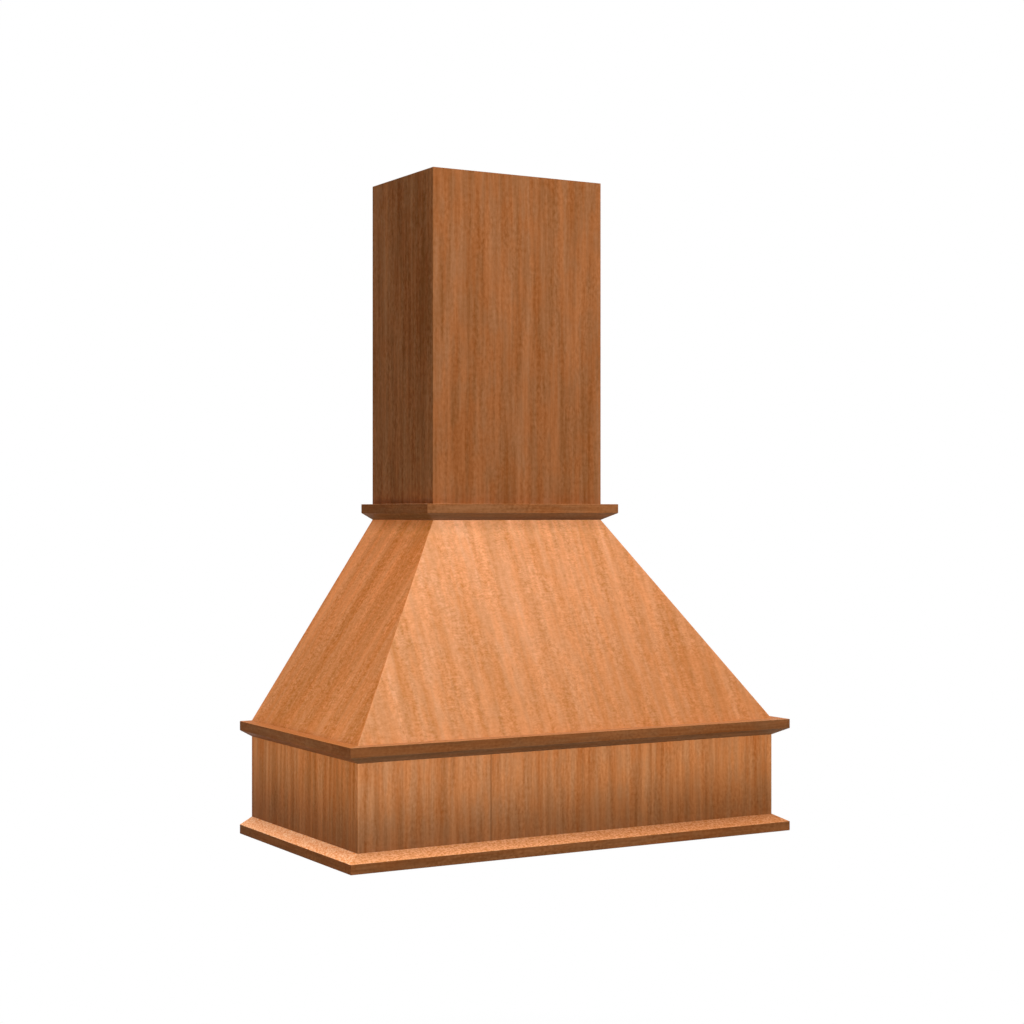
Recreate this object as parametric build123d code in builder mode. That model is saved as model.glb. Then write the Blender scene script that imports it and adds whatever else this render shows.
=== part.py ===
from build123d import *

import os
from math import hypot

# A wooden range hood cover: a mitred plywood canopy, a chimney that drops onto its neck, and the
# pair of bevelled cleats that hang it on the wall.
#
# The wall is the plane Y = 0 and the room lies towards -Y. X runs to the right along the wall and
# Z is up. The origin is on the wall, under the middle of the cover, level with its lower edge.

INCH = 25.4

# Outside of the cover
BODY_WIDTH = 36 * INCH
BODY_DEPTH = 19.125 * INCH
CHIMNEY_WIDTH = 15.125 * INCH
CHIMNEY_DEPTH = 10.5 * INCH
BAND_TOP = 8.75 * INCH
NECK_TOP = 25.625 * INCH
TOP = 51.25 * INCH

# The one moulding stock that goes round the base, the band and the neck
MOULDING_HEIGHT = 1.25 * INCH
MOULDING_PROJECTION = 1 * INCH
FASCIA_HEIGHT = 18.0
EASED_EDGE = 0.8

# Board sizes
PANEL = 0.75 * INCH
SLOPE_PANEL = 0.5 * INCH
TOP_RAIL_WIDTH = 2.5 * INCH
BACK_RAIL_HEIGHT = 3.5 * INCH
LEDGER_HEIGHT = 1.5 * INCH
LEDGER_SETBACK = 0.75 * INCH
CORNER_BLOCK = 1.5 * INCH
HIP_STRIP_LEG = 30.0
NECK_BACK_RAIL_HEIGHT = 2.5 * INCH
NECK_CLEAT_HEIGHT = 1.5 * INCH
CHIMNEY_STRIP = 1 * INCH
CHIMNEY_STRIP_BOTTOM_GAP = 2 * INCH
CHIMNEY_STRIP_TOP_GAP = 1 * INCH

# The hanging rail and the two cleats: they meet on a 45 degree bevel
CLEAT_MEETING_HEIGHT = 19 * INCH
CLEAT_TOP = 21.5 * INCH
HANGING_RAIL_BOTTOM = 18 * INCH
WALL_CLEAT_BOTTOM = 16 * INCH
HOOD_CLEAT_WIDTH = 17 * INCH
WALL_CLEAT_WIDTH = 19 * INCH

# Gap around anything that lifts off
FIT_GAP = 0.5

# Wall screws, and liner screws that come between the side ledgers' own screws
STUD_SPACING = 16 * INCH
WALL_CLEAT_HOLE_HEIGHT = 17 * INCH
WALL_CLEAT_HOLE_RADIUS = 4.0
RAIL_HOLE_RADIUS = 2.5
BACK_RAIL_HOLE_HEIGHT = 2.875 * INCH
CHIMNEY_HOLE_SPACING = 10 * INCH
LINER_SCREW_RADIUS = 1.6
LINER_SCREW_DEPTH = 1 * INCH
LINER_SCREW_SPACING_Y = 9 * INCH

# Countersunk wood screws
SCREW_SHANK_RADIUS = 2.1
SCREW_HEAD_RADIUS = 4.2
SCREW_HEAD_HEIGHT = 2.4
SCREW_POINT_LENGTH = 5.0
SCREW_DRIVE_WIDTH = 2.8
SCREW_DRIVE_DEPTH = 1.6
SCREW_GAP = 0.1
SHORT_SCREW = 1.25 * INCH
LONG_SCREW = 2 * INCH

# How many screws each row has, and how far apart they are
LONG_LEDGER_ROW = (5, 7.5 * INCH)
SIDE_LEDGER_ROW = (3, 6 * INCH)
HOOD_CLEAT_ROW = (4, 4 * INCH)
HOOD_CLEAT_SCREW_DROP = 0.875 * INCH
NECK_FRONT_ROW = (3, 5 * INCH)
NECK_SIDE_ROW = (2, 5 * INCH)

# Heights and half widths that follow from the sizes above
HALF_BODY = BODY_WIDTH / 2
HALF_CHIMNEY = CHIMNEY_WIDTH / 2
NECK_BOTTOM = NECK_TOP - MOULDING_HEIGHT
BAND_BOTTOM = BAND_TOP - MOULDING_HEIGHT
INNER_HALF_BODY = HALF_BODY - PANEL
INNER_BODY_DEPTH = BODY_DEPTH - PANEL
INNER_HALF_CHIMNEY = HALF_CHIMNEY - PANEL
INNER_CHIMNEY_DEPTH = CHIMNEY_DEPTH - PANEL
LEDGER_TOP = LEDGER_SETBACK + LEDGER_HEIGHT
TOP_RAIL_BOTTOM = BAND_TOP - PANEL
NECK_RAIL_BOTTOM = NECK_BOTTOM - PANEL
NECK_CLEAT_TOP = NECK_BOTTOM + NECK_CLEAT_HEIGHT

# The slopes: how far they rise and lean, and how thick a leaning panel is when cut level
RISE = NECK_BOTTOM - BAND_TOP
SIDE_RUN = HALF_BODY - HALF_CHIMNEY
FRONT_RUN = BODY_DEPTH - CHIMNEY_DEPTH
SIDE_LEVEL_THICKNESS = SLOPE_PANEL * hypot(RISE, SIDE_RUN) / RISE
FRONT_LEVEL_THICKNESS = SLOPE_PANEL * hypot(RISE, FRONT_RUN) / RISE

# Share of a mitred board's thickness that is eased off its sharp tip
EASED_SHARE = EASED_EDGE / PANEL

SIDES = (("left", -1), ("right", 1))

os.makedirs("parts", exist_ok=True)


def save(piece, label):
    """Name a finished piece and write it to its own file."""
    piece.part.label = label
    export_step(piece.part, f"parts/{label}.step")


def outline(points, plane):
    """A straight-sided closed outline, drawn on a plane."""
    with BuildSketch(plane) as shape:
        with BuildLine():
            Polyline(*points, close=True)
        make_face()
    return shape.sketch


def level(points, height):
    """A plan outline at one height."""
    return outline(points, Plane.XY.offset(height))


def rectangle(left, right, front, back):
    """Plan corners of a rectangle. Front and back are distances from the wall."""
    return [(left, -front), (right, -front), (right, -back), (left, -back)]


def mitred_front(half_width, depth, side_thickness, front_thickness):
    """Plan of a front board, mitred to the side boards, with the mitres' sharp tips eased."""
    inner_half = half_width - side_thickness
    inner_depth = depth - front_thickness
    side_ease = side_thickness * EASED_SHARE
    front_ease = front_thickness * EASED_SHARE
    return [
        (side_ease - half_width, -depth),
        (half_width - side_ease, -depth),
        (half_width - side_ease / 2, front_ease / 2 - depth),
        (inner_half, -inner_depth),
        (-inner_half, -inner_depth),
        (side_ease / 2 - half_width, front_ease / 2 - depth),
    ]


def mitred_side(sign, half_width, depth, side_thickness, front_thickness):
    """Plan of a side board that runs from its front mitre, eased at the tip, back to the wall."""
    side_ease = side_thickness * EASED_SHARE
    front_ease = front_thickness * EASED_SHARE
    inner = sign * (half_width - side_thickness)
    return [
        (sign * (half_width - side_ease / 2), front_ease / 2 - depth),
        (sign * half_width, front_ease - depth),
        (sign * half_width, 0),
        (inner, 0),
        (inner, front_thickness - depth),
    ]


def slope_half_width(height):
    """Half width over the outside of the slopes at one height."""
    return HALF_BODY - SIDE_RUN * (height - BAND_TOP) / RISE


def slope_depth(height):
    """Distance from the wall to the outside of the front slope at one height."""
    return BODY_DEPTH - FRONT_RUN * (height - BAND_TOP) / RISE


def inner_slope_half_width(height):
    """Half width between the inside faces of the side slopes at one height."""
    return slope_half_width(height) - SIDE_LEVEL_THICKNESS


def inner_slope_depth(height):
    """Distance from the wall to the inside face of the front slope at one height."""
    return slope_depth(height) - FRONT_LEVEL_THICKNESS


def facing(points, out):
    """Planes at points on a surface, all facing one way out of it."""
    return [Plane(origin=point, z_dir=out) for point in points]


def sunk(planes, depth):
    """The same planes, pushed a given depth into the surface."""
    return [plane.offset(-depth) for plane in planes]


def row(count, spacing):
    """Positions along a line, evenly spaced about its middle."""
    return [(index - (count - 1) / 2) * spacing for index in range(count)]


# Screws: where each group goes. Every plane lies on the face that holds the heads, facing out.

LEDGER_SCREW_HEIGHT = LEDGER_SETBACK + LEDGER_HEIGHT / 2
LEDGER_FRONT_SCREWS = facing(
    [(x, PANEL - INNER_BODY_DEPTH, LEDGER_SCREW_HEIGHT) for x in row(*LONG_LEDGER_ROW)], (0, 1, 0)
)
LEDGER_BACK_SCREWS = facing(
    [(x, -2 * PANEL, LEDGER_SCREW_HEIGHT) for x in row(*LONG_LEDGER_ROW)], (0, -1, 0)
)
LEDGER_SIDE_MIDDLE = -(INNER_BODY_DEPTH + PANEL) / 2
LEDGER_SIDE_SCREWS = {
    sign: facing(
        [
            (sign * (INNER_HALF_BODY - PANEL), LEDGER_SIDE_MIDDLE + y, LEDGER_SCREW_HEIGHT)
            for y in row(*SIDE_LEDGER_ROW)
        ],
        (-sign, 0, 0),
    )
    for _, sign in SIDES
}
HOOD_CLEAT_SCREWS = facing(
    [(x, -2 * PANEL, CLEAT_TOP - HOOD_CLEAT_SCREW_DROP) for x in row(*HOOD_CLEAT_ROW)], (0, -1, 0)
)
CORNER_SCREW_X = INNER_HALF_BODY - CORNER_BLOCK / 2
FRONT_CORNER_SCREW_Y = CORNER_BLOCK / 2 - INNER_BODY_DEPTH
BACK_CORNER_SCREW_Y = -(PANEL + CORNER_BLOCK / 2)
CORNER_SCREWS = {
    (end, sign): facing([(sign * CORNER_SCREW_X, y, BAND_TOP)], (0, 0, 1))
    for end, y in (("front", FRONT_CORNER_SCREW_Y), ("back", BACK_CORNER_SCREW_Y))
    for _, sign in SIDES
}
NECK_CLEAT_FRONT_Y = -(INNER_CHIMNEY_DEPTH - FIT_GAP - PANEL / 2)
NECK_CLEAT_SIDE_X = INNER_HALF_CHIMNEY - FIT_GAP - PANEL / 2
NECK_FRONT_SCREWS = facing(
    [(x, NECK_CLEAT_FRONT_Y, NECK_CLEAT_TOP) for x in row(*NECK_FRONT_ROW)], (0, 0, 1)
)
NECK_SIDE_SCREWS = {
    sign: facing(
        [
            (sign * NECK_CLEAT_SIDE_X, NECK_CLEAT_FRONT_Y / 2 + y, NECK_CLEAT_TOP)
            for y in row(*NECK_SIDE_ROW)
        ],
        (0, 0, 1),
    )
    for _, sign in SIDES
}


def drill_clearance(planes, thickness):
    """Countersunk clearance holes right through a board, in the open part."""
    with Locations(*planes):
        CounterSinkHole(
            radius=SCREW_SHANK_RADIUS + SCREW_GAP,
            counter_sink_radius=SCREW_HEAD_RADIUS + SCREW_GAP,
            depth=thickness,
        )


def drill_pilot(planes, depth):
    """Blind holes for the screw points, in the open part."""
    with Locations(*planes):
        Hole(radius=SCREW_SHANK_RADIUS + SCREW_GAP, depth=depth)


def screw_group(planes, length, label):
    """Countersunk wood screws with a square drive, one at each plane."""
    with BuildPart() as screw:
        profile = [
            (0, 0),
            (SCREW_HEAD_RADIUS, 0),
            (SCREW_SHANK_RADIUS, -SCREW_HEAD_HEIGHT),
            (SCREW_SHANK_RADIUS, SCREW_POINT_LENGTH - length),
            (0, -length),
        ]
        revolve(outline(profile, Plane.XZ), axis=Axis.Z)
        with BuildSketch():
            Rectangle(SCREW_DRIVE_WIDTH, SCREW_DRIVE_WIDTH)
        extrude(amount=-SCREW_DRIVE_DEPTH, mode=Mode.SUBTRACT)
    with BuildPart() as screws:
        with Locations(*planes):
            add(screw.part)
    save(screws, label)


# Apron: front and side panels, mitred at the front corners

with BuildPart() as apron_front:
    extrude(level(mitred_front(HALF_BODY, BODY_DEPTH, PANEL, PANEL), 0), amount=BAND_TOP)
    drill_pilot(sunk(LEDGER_FRONT_SCREWS, PANEL), SHORT_SCREW - PANEL)
save(apron_front, "apron_front")

for side, sign in SIDES:
    with BuildPart() as apron_side:
        extrude(level(mitred_side(sign, HALF_BODY, BODY_DEPTH, PANEL, PANEL), 0), amount=BAND_TOP)
        drill_pilot(sunk(LEDGER_SIDE_SCREWS[sign], PANEL), SHORT_SCREW - PANEL)
    save(apron_side, f"apron_{side}")


# Rail along the wall at the foot of the apron, with two holes for wall screws

with BuildPart() as back_rail_bottom:
    extrude(level(rectangle(-INNER_HALF_BODY, INNER_HALF_BODY, PANEL, 0), 0), amount=BACK_RAIL_HEIGHT)
    with Locations(*facing([(x, -PANEL, BACK_RAIL_HOLE_HEIGHT) for x in row(2, STUD_SPACING)], (0, -1, 0))):
        Hole(radius=RAIL_HOLE_RADIUS)
    drill_pilot(sunk(LEDGER_BACK_SCREWS, PANEL), SHORT_SCREW - PANEL)
save(back_rail_bottom, "back_rail_bottom")


# Ledgers round the inside of the apron: a liner is screwed up into their lower edges

LINER_SCREW_X = INNER_HALF_BODY - PANEL / 2
LINER_SCREW_SPOTS = {
    sign: facing(
        [
            (sign * LINER_SCREW_X, LEDGER_SIDE_MIDDLE + y, LEDGER_SETBACK)
            for y in row(2, LINER_SCREW_SPACING_Y)
        ],
        (0, 0, -1),
    )
    for _, sign in SIDES
}

with BuildPart() as liner_ledger_front:
    plan = rectangle(-INNER_HALF_BODY, INNER_HALF_BODY, INNER_BODY_DEPTH, INNER_BODY_DEPTH - PANEL)
    extrude(level(plan, LEDGER_SETBACK), amount=LEDGER_HEIGHT)
    drill_clearance(LEDGER_FRONT_SCREWS, PANEL)
save(liner_ledger_front, "liner_ledger_front")

with BuildPart() as liner_ledger_back:
    plan = rectangle(-INNER_HALF_BODY, INNER_HALF_BODY, 2 * PANEL, PANEL)
    extrude(level(plan, LEDGER_SETBACK), amount=LEDGER_HEIGHT)
    drill_clearance(LEDGER_BACK_SCREWS, PANEL)
save(liner_ledger_back, "liner_ledger_back")

for side, sign in SIDES:
    with BuildPart() as liner_ledger_side:
        plan = rectangle(
            sign * (INNER_HALF_BODY - PANEL), sign * INNER_HALF_BODY, INNER_BODY_DEPTH - PANEL, 2 * PANEL
        )
        extrude(level(plan, LEDGER_SETBACK), amount=LEDGER_HEIGHT)
        drill_clearance(LEDGER_SIDE_SCREWS[sign], PANEL)
        with Locations(*LINER_SCREW_SPOTS[sign]):
            Hole(radius=LINER_SCREW_RADIUS, depth=LINER_SCREW_DEPTH)
    save(liner_ledger_side, f"liner_ledger_{side}")

screw_group(
    LEDGER_FRONT_SCREWS + LEDGER_BACK_SCREWS + LEDGER_SIDE_SCREWS[-1] + LEDGER_SIDE_SCREWS[1],
    SHORT_SCREW,
    "ledger_screws",
)


# Blocks that stand in the apron's corners, between the ledgers and the top rails

for end, near, far in (
    ("front", INNER_BODY_DEPTH, INNER_BODY_DEPTH - CORNER_BLOCK),
    ("back", PANEL + CORNER_BLOCK, PANEL),
):
    for side, sign in SIDES:
        with BuildPart() as corner_block:
            plan = rectangle(sign * (INNER_HALF_BODY - CORNER_BLOCK), sign * INNER_HALF_BODY, near, far)
            extrude(level(plan, LEDGER_TOP), amount=TOP_RAIL_BOTTOM - LEDGER_TOP)
            drill_pilot(sunk(CORNER_SCREWS[end, sign], PANEL), LONG_SCREW - PANEL)
        save(corner_block, f"apron_corner_block_{end}_{side}")


# Flat rails level with the top of the apron, which the slopes' feet are glued over

with BuildPart() as apron_top_rail_front:
    plan = rectangle(-INNER_HALF_BODY, INNER_HALF_BODY, INNER_BODY_DEPTH, INNER_BODY_DEPTH - TOP_RAIL_WIDTH)
    extrude(level(plan, TOP_RAIL_BOTTOM), amount=PANEL)
    for _, sign in SIDES:
        drill_clearance(CORNER_SCREWS["front", sign], PANEL)
save(apron_top_rail_front, "apron_top_rail_front")

with BuildPart() as apron_top_rail_back:
    plan = rectangle(-INNER_HALF_BODY, INNER_HALF_BODY, TOP_RAIL_WIDTH, 0)
    extrude(level(plan, TOP_RAIL_BOTTOM), amount=PANEL)
    for _, sign in SIDES:
        drill_clearance(CORNER_SCREWS["back", sign], PANEL)
save(apron_top_rail_back, "apron_top_rail_back")

for side, sign in SIDES:
    with BuildPart() as apron_top_rail_side:
        plan = rectangle(
            sign * (INNER_HALF_BODY - TOP_RAIL_WIDTH),
            sign * INNER_HALF_BODY,
            INNER_BODY_DEPTH - TOP_RAIL_WIDTH,
            TOP_RAIL_WIDTH,
        )
        extrude(level(plan, TOP_RAIL_BOTTOM), amount=PANEL)
    save(apron_top_rail_side, f"apron_top_rail_{side}")

screw_group([plane for planes in CORNER_SCREWS.values() for plane in planes], LONG_SCREW, "top_rail_screws")


# Slopes: leaning panels with level feet and heads, mitred to each other along the hips

with BuildPart() as slope_front:
    loft(
        [
            level(
                mitred_front(
                    slope_half_width(height), slope_depth(height), SIDE_LEVEL_THICKNESS, FRONT_LEVEL_THICKNESS
                ),
                height,
            )
            for height in (BAND_TOP, NECK_BOTTOM)
        ],
        ruled=True,
    )
save(slope_front, "slope_front")

for side, sign in SIDES:
    with BuildPart() as slope_side:
        loft(
            [
                level(
                    mitred_side(
                        sign,
                        slope_half_width(height),
                        slope_depth(height),
                        SIDE_LEVEL_THICKNESS,
                        FRONT_LEVEL_THICKNESS,
                    ),
                    height,
                )
                for height in (BAND_TOP, NECK_BOTTOM)
            ],
            ruled=True,
        )
    save(slope_side, f"slope_{side}")


# Three-cornered glue strips behind the hips

for side, sign in SIDES:
    with BuildPart() as hip_strip:
        sections = []
        for height in (BAND_TOP, NECK_RAIL_BOTTOM):
            x = inner_slope_half_width(height)
            y = -inner_slope_depth(height)
            corners = [(sign * x, y), (sign * x, y + HIP_STRIP_LEG), (sign * (x - HIP_STRIP_LEG), y)]
            sections.append(level(corners, height))
        loft(sections, ruled=True)
    save(hip_strip, f"hip_strip_{side}")


# Neck frame: flat rails inside the heads of the slopes, and an upright rail along the wall

NECK_OPENING_HALF_WIDTH = INNER_HALF_CHIMNEY - FIT_GAP - PANEL
NECK_OPENING_DEPTH = INNER_CHIMNEY_DEPTH - FIT_GAP - PANEL

with BuildPart() as neck_rail_front:
    sections = []
    for height in (NECK_RAIL_BOTTOM, NECK_BOTTOM):
        x = inner_slope_half_width(height)
        sections.append(level(rectangle(-x, x, inner_slope_depth(height), NECK_OPENING_DEPTH), height))
    loft(sections, ruled=True)
    drill_pilot(sunk(NECK_FRONT_SCREWS, NECK_CLEAT_HEIGHT), LONG_SCREW - NECK_CLEAT_HEIGHT)
save(neck_rail_front, "neck_rail_front")

for side, sign in SIDES:
    with BuildPart() as neck_rail_side:
        sections = []
        for height in (NECK_RAIL_BOTTOM, NECK_BOTTOM):
            outer = sign * inner_slope_half_width(height)
            inner = sign * NECK_OPENING_HALF_WIDTH
            sections.append(level(rectangle(inner, outer, NECK_OPENING_DEPTH, PANEL), height))
        loft(sections, ruled=True)
        drill_pilot(sunk(NECK_SIDE_SCREWS[sign], NECK_CLEAT_HEIGHT), LONG_SCREW - NECK_CLEAT_HEIGHT)
    save(neck_rail_side, f"neck_rail_{side}")


def tapered_rail(bottom, top, front, thickness):
    """An upright board along the wall whose ends lean with the side slopes."""
    low = inner_slope_half_width(bottom)
    high = inner_slope_half_width(top)
    face = [(-low, bottom), (low, bottom), (high, top), (-high, top)]
    with BuildPart() as rail:
        extrude(outline(face, Plane.XZ.offset(front)), amount=-thickness)
    return rail


neck_rail_back = tapered_rail(NECK_BOTTOM - NECK_BACK_RAIL_HEIGHT, NECK_BOTTOM, PANEL, PANEL)
save(neck_rail_back, "neck_rail_back")


# Cleats that stand up on the neck frame, inside the chimney, so that it can't slide off

with BuildPart() as neck_cleat_front:
    x = INNER_HALF_CHIMNEY - FIT_GAP
    plan = rectangle(-x, x, INNER_CHIMNEY_DEPTH - FIT_GAP, NECK_OPENING_DEPTH)
    extrude(level(plan, NECK_BOTTOM), amount=NECK_CLEAT_HEIGHT)
    drill_clearance(NECK_FRONT_SCREWS, NECK_CLEAT_HEIGHT)
save(neck_cleat_front, "neck_cleat_front")

for side, sign in SIDES:
    with BuildPart() as neck_cleat_side:
        plan = rectangle(
            sign * NECK_OPENING_HALF_WIDTH,
            sign * (INNER_HALF_CHIMNEY - FIT_GAP),
            NECK_OPENING_DEPTH,
            PANEL + FIT_GAP,
        )
        extrude(level(plan, NECK_BOTTOM), amount=NECK_CLEAT_HEIGHT)
        drill_clearance(NECK_SIDE_SCREWS[sign], NECK_CLEAT_HEIGHT)
    save(neck_cleat_side, f"neck_cleat_{side}")

screw_group(NECK_FRONT_SCREWS + NECK_SIDE_SCREWS[-1] + NECK_SIDE_SCREWS[1], LONG_SCREW, "neck_cleat_screws")


# Hanging rail, set one board out from the wall, and the bevelled cleats behind it

with BuildPart() as hanging_rail:
    add(tapered_rail(HANGING_RAIL_BOTTOM, CLEAT_TOP, 2 * PANEL, PANEL).part)
    drill_clearance(HOOD_CLEAT_SCREWS, PANEL)
save(hanging_rail, "hanging_rail")

with BuildPart() as hood_cleat:
    section = [
        (0, CLEAT_MEETING_HEIGHT),
        (0, CLEAT_TOP),
        (-PANEL, CLEAT_TOP),
        (-PANEL, CLEAT_MEETING_HEIGHT + PANEL),
    ]
    extrude(outline(section, Plane.YZ.offset(-HOOD_CLEAT_WIDTH / 2)), amount=HOOD_CLEAT_WIDTH)
    drill_pilot(sunk(HOOD_CLEAT_SCREWS, PANEL), SHORT_SCREW - PANEL)
save(hood_cleat, "hood_cleat")

screw_group(HOOD_CLEAT_SCREWS, SHORT_SCREW, "hood_cleat_screws")

with BuildPart() as wall_cleat:
    thickness = PANEL - FIT_GAP
    section = [
        (0, WALL_CLEAT_BOTTOM),
        (0, CLEAT_MEETING_HEIGHT),
        (-thickness, CLEAT_MEETING_HEIGHT + thickness),
        (-thickness, WALL_CLEAT_BOTTOM),
    ]
    extrude(outline(section, Plane.YZ.offset(-WALL_CLEAT_WIDTH / 2)), amount=WALL_CLEAT_WIDTH)
    holes = facing([(x, -thickness, WALL_CLEAT_HOLE_HEIGHT) for x in row(2, STUD_SPACING)], (0, -1, 0))
    with Locations(*holes):
        Hole(radius=WALL_CLEAT_HOLE_RADIUS)
save(wall_cleat, "wall_cleat")


# Chimney: front and side panels, mitred at the front corners, and two rails along the wall

with BuildPart() as chimney_front:
    plan = mitred_front(HALF_CHIMNEY, CHIMNEY_DEPTH, PANEL, PANEL)
    extrude(level(plan, NECK_BOTTOM), amount=TOP - NECK_BOTTOM)
    head = chimney_front.faces().sort_by(Axis.Z)[-1]
    chamfer(head.edges().filter_by(lambda edge: edge.center().Y < EASED_EDGE - CHIMNEY_DEPTH), EASED_EDGE / 2)
save(chimney_front, "chimney_front")

for side, sign in SIDES:
    with BuildPart() as chimney_side:
        plan = mitred_side(sign, HALF_CHIMNEY, CHIMNEY_DEPTH, PANEL, PANEL)
        extrude(level(plan, NECK_BOTTOM), amount=TOP - NECK_BOTTOM)
        head = chimney_side.faces().sort_by(Axis.Z)[-1]
        chamfer(
            head.edges().filter_by(lambda edge: abs(edge.center().X) > HALF_CHIMNEY - EASED_EDGE),
            EASED_EDGE / 2,
        )
    save(chimney_side, f"chimney_{side}")

with BuildPart() as chimney_back_rail_bottom:
    plan = rectangle(-INNER_HALF_CHIMNEY, INNER_HALF_CHIMNEY, PANEL, 0)
    extrude(level(plan, NECK_BOTTOM), amount=BACK_RAIL_HEIGHT)
save(chimney_back_rail_bottom, "chimney_back_rail_bottom")

with BuildPart() as chimney_back_rail_top:
    plan = rectangle(-INNER_HALF_CHIMNEY, INNER_HALF_CHIMNEY, PANEL, 0)
    extrude(level(plan, TOP - BACK_RAIL_HEIGHT), amount=BACK_RAIL_HEIGHT)
    middle = TOP - BACK_RAIL_HEIGHT / 2
    with Locations(*facing([(x, -PANEL, middle) for x in row(2, CHIMNEY_HOLE_SPACING)], (0, -1, 0))):
        Hole(radius=RAIL_HOLE_RADIUS)
save(chimney_back_rail_top, "chimney_back_rail_top")

for side, sign in SIDES:
    with BuildPart() as chimney_corner_strip:
        plan = rectangle(
            sign * (INNER_HALF_CHIMNEY - CHIMNEY_STRIP),
            sign * INNER_HALF_CHIMNEY,
            INNER_CHIMNEY_DEPTH,
            INNER_CHIMNEY_DEPTH - CHIMNEY_STRIP,
        )
        bottom = NECK_BOTTOM + CHIMNEY_STRIP_BOTTOM_GAP
        extrude(level(plan, bottom), amount=TOP - CHIMNEY_STRIP_TOP_GAP - bottom)
    save(chimney_corner_strip, f"chimney_corner_strip_{side}")


# Mouldings: one profile, chamfered on one side, mitred round three sides of the body


def moulding_profile(plane, chamfer_up):
    """The moulding's section: x runs out from the board behind it and y runs up."""
    points = [(0, 0), (MOULDING_PROJECTION, 0), (MOULDING_PROJECTION, FASCIA_HEIGHT), (0, MOULDING_HEIGHT)]
    if not chamfer_up:
        points = [(x, MOULDING_HEIGHT - y) for x, y in points]
    with BuildSketch(plane) as profile:
        with BuildLine():
            Polyline(*points, close=True)
        make_face()
        fillet(profile.vertices().group_by(Axis.X)[-1], radius=EASED_EDGE)
    return profile.sketch


def moulding_set(name, half_width, depth, bottom, chamfer_up):
    """Front and side lengths of the moulding, mitred at the two front corners."""
    mitres = {
        sign: Plane(origin=(sign * half_width, -depth, bottom), z_dir=(sign, 1, 0)) for _, sign in SIDES
    }
    reach = half_width + MOULDING_PROJECTION
    with BuildPart() as front:
        start = Plane(origin=(reach, -depth, bottom), x_dir=(0, -1, 0), z_dir=(-1, 0, 0))
        extrude(moulding_profile(start, chamfer_up), amount=2 * reach)
        for mitre in mitres.values():
            split(bisect_by=mitre, keep=Keep.BOTTOM)
    save(front, f"{name}_front")
    for side, sign in SIDES:
        with BuildPart() as length:
            wall = Plane(origin=(sign * half_width, 0, bottom), x_dir=(sign, 0, 0), z_dir=(0, -sign, 0))
            extrude(moulding_profile(wall, chamfer_up), amount=sign * (depth + MOULDING_PROJECTION))
            split(bisect_by=mitres[sign], keep=Keep.TOP)
        save(length, f"{name}_{side}")


moulding_set("base_moulding", HALF_BODY, BODY_DEPTH, 0, chamfer_up=True)
moulding_set("band_moulding", HALF_BODY, BODY_DEPTH, BAND_BOTTOM, chamfer_up=False)
moulding_set("neck_moulding", HALF_CHIMNEY, CHIMNEY_DEPTH, NECK_BOTTOM, chamfer_up=False)
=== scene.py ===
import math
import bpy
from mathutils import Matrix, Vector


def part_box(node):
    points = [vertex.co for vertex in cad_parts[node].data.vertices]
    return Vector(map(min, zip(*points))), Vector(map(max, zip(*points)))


bl_info = {
    "name": "Wooden Range Hood Cover",
    "version": (1, 0, 0),
    "blender": (4, 5, 0),
    "location": "View3D > Sidebar > Hood Cover",
    "description": "Finishes the boards, mouldings and fixings of a wooden range hood cover",
    "category": "Object",
}

import bpy
from bpy.props import FloatProperty, FloatVectorProperty, PointerProperty
from bpy.types import Operator, Panel, PropertyGroup
from mathutils import Vector

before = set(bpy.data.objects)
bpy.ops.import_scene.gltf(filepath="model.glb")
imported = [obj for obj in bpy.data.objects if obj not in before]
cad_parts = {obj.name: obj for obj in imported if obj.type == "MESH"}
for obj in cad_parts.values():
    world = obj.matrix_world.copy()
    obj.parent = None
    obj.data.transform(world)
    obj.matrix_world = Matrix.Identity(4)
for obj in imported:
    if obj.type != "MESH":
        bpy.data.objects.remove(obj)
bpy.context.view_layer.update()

# Faces of the cover that the veneers are laid on, measured on the loaded boards
HALF_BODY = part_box("apron_right")[1].x
BODY_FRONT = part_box("apron_front")[0].y
HALF_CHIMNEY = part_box("chimney_right")[1].x
CHIMNEY_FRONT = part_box("chimney_front")[0].y
BAND_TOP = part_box("apron_front")[1].z
NECK_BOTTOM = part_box("chimney_front")[0].z
CHIMNEY_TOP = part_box("chimney_front")[1].z
APRON_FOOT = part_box("base_moulding_front")[1].z
BAND_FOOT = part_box("band_moulding_front")[0].z

# How far the mouldings stand out from the boards behind them
MOULDING_REACH = 0.0254

# Thickness of the upright and the sloping boards, and of their face veneer and the glue below it
UPRIGHT_BOARD = 0.01905
SLOPE_BOARD = 0.0127
FACE_VENEER = 0.00115
GLUE_LINE = 0.0002

# How much thickness a board has for each ply of its core
BOARD_PER_PLY = 0.0024

UP = Vector((0, 0, 1))
RIGHT = Vector((1, 0, 0))
TO_WALL = Vector((0, 1, 0))
SIDES = (("front", -TO_WALL), ("left", -RIGHT), ("right", RIGHT))
WHITE = (1.0, 1.0, 1.0)


def mixed(red, green, blue):
    """A colour given as a mixer's 0-255 values, in the linear values that a shader takes."""
    return tuple(
        v / 12.92 if v <= 0.04045 else ((v + 0.055) / 1.055) ** 2.4
        for v in (red / 255, green / 255, blue / 255)
    )


def colour(name, description, red, green, blue):
    """A colour that a user can change, given as a mixer's values."""
    return FloatVectorProperty(
        name=name,
        description=description,
        subtype="COLOR",
        size=3,
        min=0.0,
        max=1.0,
        default=mixed(red, green, blue),
    )


def length(name, description, metres):
    """A length that a user can change."""
    return FloatProperty(
        name=name, description=description, default=metres, min=0.00001, unit="LENGTH", precision=4
    )


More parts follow.
